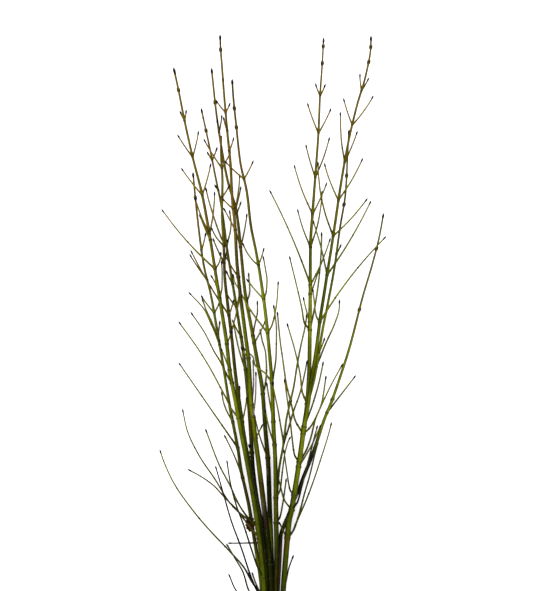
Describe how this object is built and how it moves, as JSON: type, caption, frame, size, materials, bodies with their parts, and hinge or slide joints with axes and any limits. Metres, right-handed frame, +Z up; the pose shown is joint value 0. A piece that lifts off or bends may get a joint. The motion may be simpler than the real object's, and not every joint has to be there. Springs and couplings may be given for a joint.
{
  "type": "cut branch bunch",
  "caption": "Bunch of bare cut dogwood stems with side twigs and buds, held by a twine tie and lying on a surface.",
  "frame": {"origin": "middle of the flat underside of the tie, where the bunch rests on the surface", "axes": "+Y along the stems from the cut ends towards the tips, +Z up from the surface, +X to the right seen from above with the tips ahead"},
  "size_m": [0.3634, 1, 0.1577],
  "materials": {
    "bark_olive": "smooth olive-yellow bark, slightly waxy",
    "bark_green": "smooth yellow-green bark, slightly waxy",
    "bark_brown": "smooth brown-olive bark, slightly waxy",
    "twine": "rough natural twine",
    "dry_leaf": "dull brittle brown leaf"
  },
  "bodies": {
    "root": {"cane_1": "bark_olive", "cane_2": "bark_green", "cane_3": "bark_green", "cane_4": "bark_brown", "cane_5": "bark_olive", "cane_6": "bark_brown", "cane_7": "bark_olive", "cane_8": "bark_green", "cane_9": "bark_brown", "tie": "twine", "dry_leaf": "dry_leaf"}
  },
  "joints": []
}
